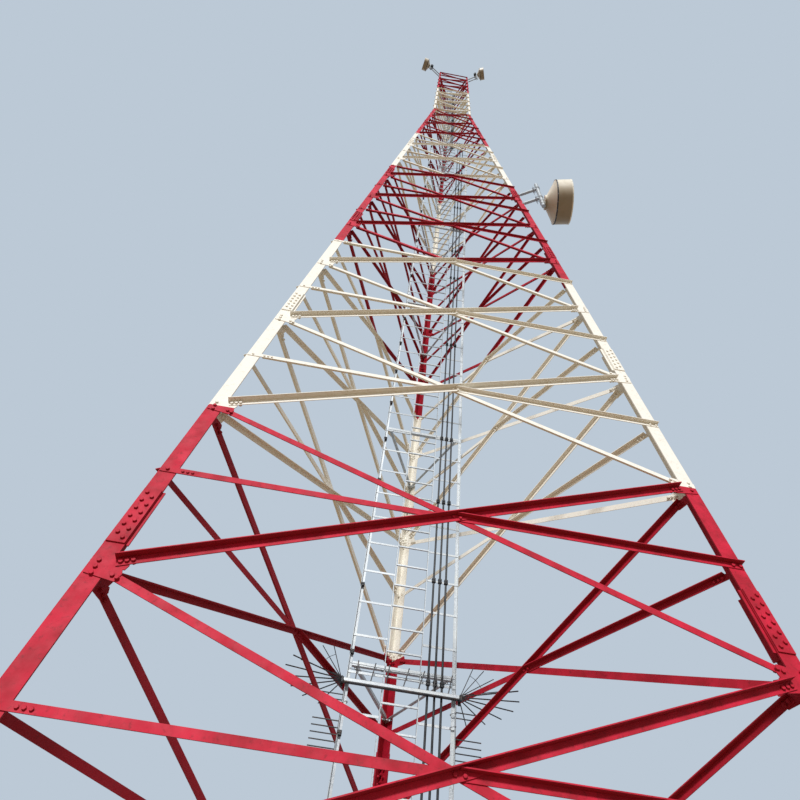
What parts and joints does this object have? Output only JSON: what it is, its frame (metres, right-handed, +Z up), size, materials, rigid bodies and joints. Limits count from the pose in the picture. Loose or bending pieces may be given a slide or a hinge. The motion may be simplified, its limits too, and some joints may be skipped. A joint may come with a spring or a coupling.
{
  "type": "radio mast",
  "caption": "Self-supporting three-legged lattice mast of bolted steel angles in red and white bands, with an inside ladder, cable racks, a climbing guard and microwave dishes",
  "frame": {"origin": "middle of the underside of the back leg's base plate", "axes": "Z up; X to the right of the front face; -Y toward the front face, which is the side nearest the viewer"},
  "size_m": [6.3288, 5.5479, 38.56],
  "materials": {
    "red_paint": "semi-gloss",
    "white_paint": "semi-gloss",
    "galvanised": "satin",
    "dark_steel": "satin",
    "cable_sheath": "matte",
    "dish_paint": "satin",
    "cover_sheet": "matte",
    "radio_case": "satin"
  },
  "bodies": {
    "root": {"base_plates": "red_paint", "dish_back": "dish_paint", "dish_cover": "cover_sheet", "dish_mount": "galvanised", "dish_shroud": "dish_paint", "feeder_cables": "cable_sheath", "front_bracing_1": "red_paint", "front_bracing_2": "white_paint", "front_bracing_3": "red_paint", "front_bracing_4": "white_paint", "front_bracing_5": "red_paint", "front_bracing_6": "white_paint", "front_bracing_7": "red_paint", "guard_combs": "dark_steel", "guard_frame": "galvanised", "guard_spikes": "dark_steel", "ladder": "galvanised", "ladder_brackets": "galvanised", "left_bracing_1": "red_paint", "left_bracing_2": "white_paint", "left_bracing_3": "red_paint", "left_bracing_4": "white_paint", "left_bracing_5": "red_paint", "left_bracing_6": "white_paint", "left_bracing_7": "red_paint", "left_cable_rack": "galvanised", "left_dish": "dish_paint", "left_outrigger": "galvanised", "left_radio": "radio_case", "leg_splices": "red_paint", "legs_1": "red_paint", "legs_2": "white_paint", "legs_3": "red_paint", "legs_4": "white_paint", "legs_5": "red_paint", "legs_6": "white_paint", "legs_7": "red_paint", "right_bracing_1": "red_paint", "right_bracing_2": "white_paint", "right_bracing_3": "red_paint", "right_bracing_4": "white_paint", "right_bracing_5": "red_paint", "right_bracing_6": "white_paint", "right_bracing_7": "red_paint", "right_cable_rack": "galvanised", "right_dish": "dish_paint", "right_outrigger": "galvanised", "right_radio": "radio_case", "upper_brackets": "galvanised", "upper_ladder": "galvanised"}
  },
  "joints": []
}
